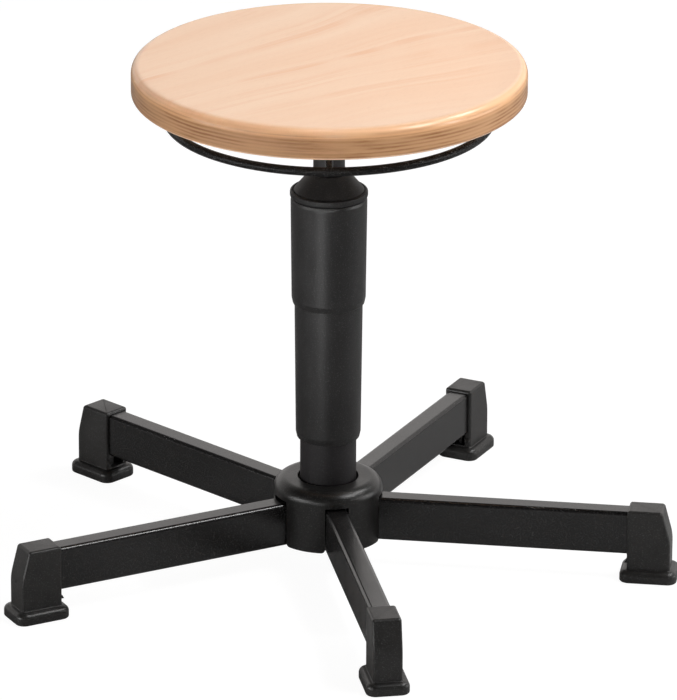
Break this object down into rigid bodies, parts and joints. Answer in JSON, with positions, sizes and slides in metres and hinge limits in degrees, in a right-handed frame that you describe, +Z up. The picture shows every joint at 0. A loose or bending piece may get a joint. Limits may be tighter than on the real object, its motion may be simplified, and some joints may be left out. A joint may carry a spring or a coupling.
{
  "type": "swivel stool",
  "caption": "Height-adjustable swivel stool: round plywood seat, ring-release gas column in a telescopic cover, star base of rectangular steel tube with moulded feet.",
  "frame": {"origin": "on the floor, under the axis of the column, in the middle of the base", "axes": "+Z up along the column, -Y towards the front, +X to the right as seen from the front"},
  "size_m": [0.5974, 0.5999, 0.467],
  "materials": {
    "seat_plywood": "beech plywood, clear satin lacquer",
    "coated_steel": "black powder coat, semi-matte",
    "bright_steel": "zinc-plated or bare steel",
    "tube_coating": "smooth black lacquer, satin",
    "valve_metal": "turned brass",
    "bush_plastic": "natural acetal",
    "cover_plastic": "moulded black, fine matte",
    "ring_coating": "black powder coat, satin",
    "bumper_rubber": "moulded rubber",
    "hub_plastic": "moulded black, grained",
    "leg_coating": "black powder coat, semi-matte",
    "foot_plastic": "moulded black, satin"
  },
  "bodies": {
    "base": {"leg_1": "leg_coating", "leg_2": "leg_coating", "leg_3": "leg_coating", "leg_4": "leg_coating", "leg_5": "leg_coating", "foot_1": "foot_plastic", "foot_2": "foot_plastic", "foot_3": "foot_plastic", "foot_4": "foot_plastic", "foot_5": "foot_plastic", "hub_core": "coated_steel", "hub_cover": "hub_plastic", "column_tube": "tube_coating", "guide_bush": "bush_plastic", "lower_washer": "bright_steel"},
    "ball_cage": {"bearing_balls": "bright_steel", "ball_cage": "bush_plastic"},
    "rod": {"piston_rod": "bright_steel", "piston": "valve_metal", "upper_washer": "bright_steel", "rubber_bumper": "bumper_rubber", "end_washer": "bright_steel", "rod_clip": "bright_steel"},
    "seat": {"seat": "seat_plywood", "mounting_plate": "coated_steel", "seat_screws": "bright_steel", "socket_bracket": "coated_steel", "cone_socket": "coated_steel", "pressure_tube": "tube_coating", "valve_body": "valve_metal", "rod_guide": "bush_plastic", "cover_cap": "cover_plastic", "upper_sleeve": "cover_plastic"},
    "ring": {"release_ring": "ring_coating", "ring_spokes": "ring_coating", "rocker_disc": "bright_steel"},
    "valve_button": {"valve_button": "bright_steel"},
    "middle_sleeve": {"middle_sleeve": "cover_plastic"}
  },
  "joints": [
    {"name": "seat_swivel", "type": "hinge", "parent": "base", "child": "rod", "pos_m": [0, 0, 0.2], "axis": [0, 0, 1], "continuous": true},
    {"name": "seat_height", "type": "slide", "parent": "rod", "child": "seat", "axis": [0, 0, 1], "range_m": [-0.13, 0]},
    {"name": "bearing_turn", "type": "hinge", "parent": "base", "child": "ball_cage", "pos_m": [0, 0, 0.024], "axis": [0, 0, 1], "continuous": true},
    {"name": "middle_sleeve_drop", "type": "slide", "parent": "base", "child": "middle_sleeve", "axis": [0, 0, 1], "range_m": [-0.0361, 0]},
    {"name": "ring_lift", "type": "hinge", "parent": "seat", "child": "ring", "pos_m": [0.022, 0, 0.43568], "axis": [0, -1, 0], "range_deg": [0, 5], "stiffness_Nm_per_rad": 2, "springref_deg": -28.65},
    {"name": "button_press", "type": "slide", "parent": "seat", "child": "valve_button", "axis": [0, 0, -1], "range_m": [0, 0.0021]}
  ],
  "couplings": [
    {"joint": "bearing_turn", "follows": "seat_swivel", "ratio": 0.5},
    {"joint": "middle_sleeve_drop", "follows": "seat_height", "ratio": 0.2769},
    {"joint": "button_press", "follows": "ring_lift", "m_per_rad": 0.0235}
  ]
}
